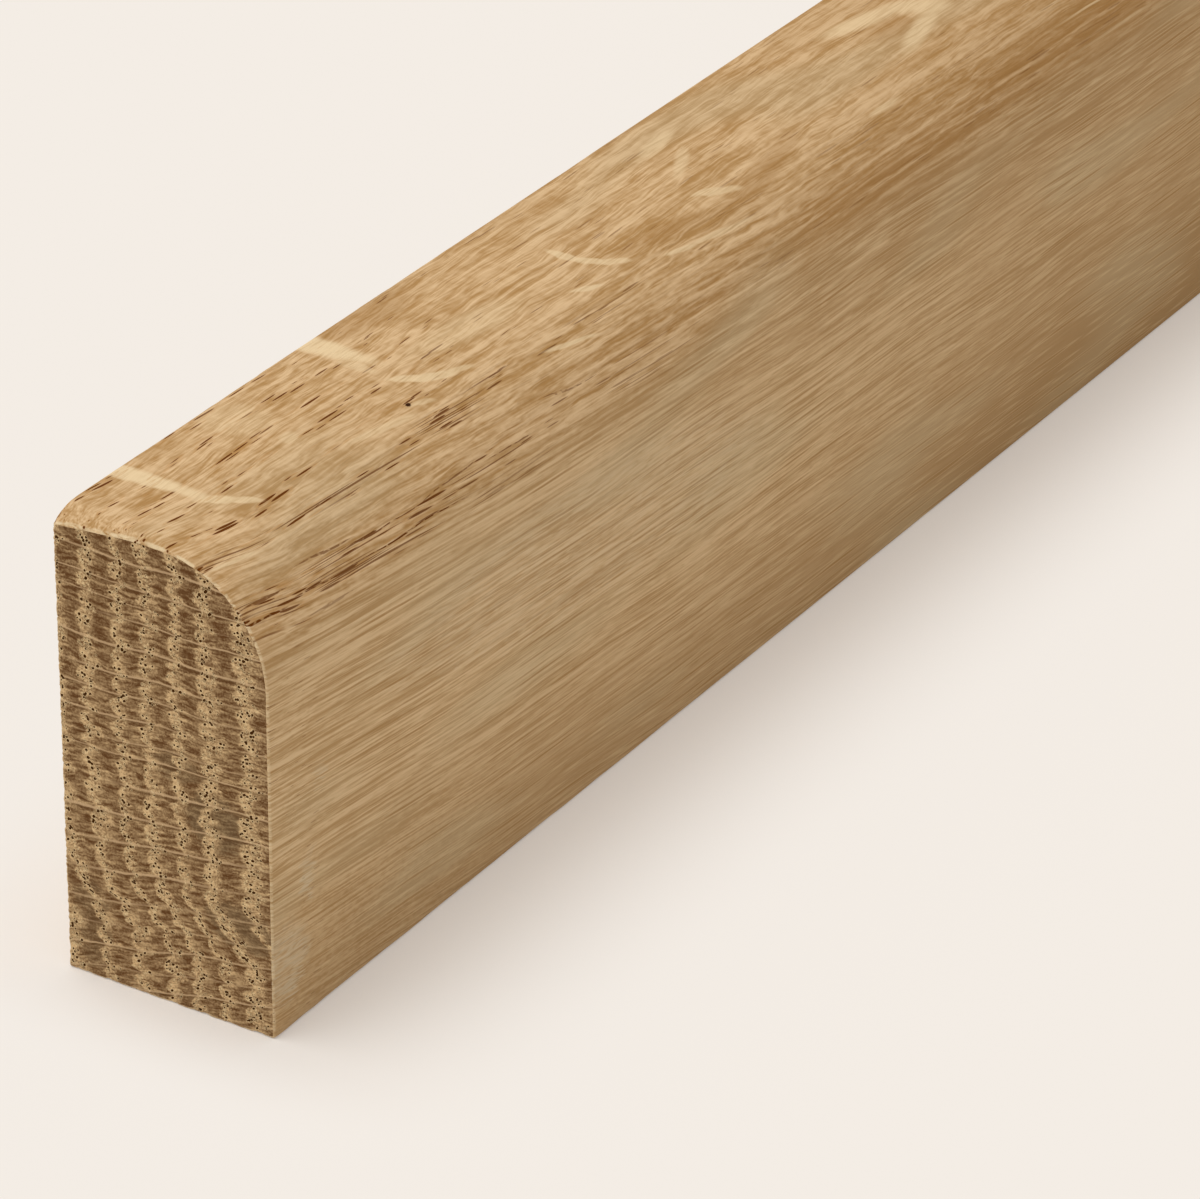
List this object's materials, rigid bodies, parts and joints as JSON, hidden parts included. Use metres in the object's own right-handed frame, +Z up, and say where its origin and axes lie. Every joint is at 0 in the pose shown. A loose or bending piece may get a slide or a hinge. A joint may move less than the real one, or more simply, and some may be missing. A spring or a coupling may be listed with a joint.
{
  "type": "oak moulding strip",
  "caption": "Straight solid oak trim strip with a nosed top front edge, a flat back and a flat base, square-cut at both ends.",
  "frame": {"origin": "centre of the base, at the middle of the strip's length", "axes": "+X along the strip, away from the end with the knocked corner; +Y towards the flat back; +Z up from the base to the crown"},
  "size_m": [0.9, 0.02, 0.0415],
  "materials": {
    "oak": "planed, bare and unfinished"
  },
  "bodies": {
    "root": {"moulding_strip": "oak"}
  },
  "joints": []
}
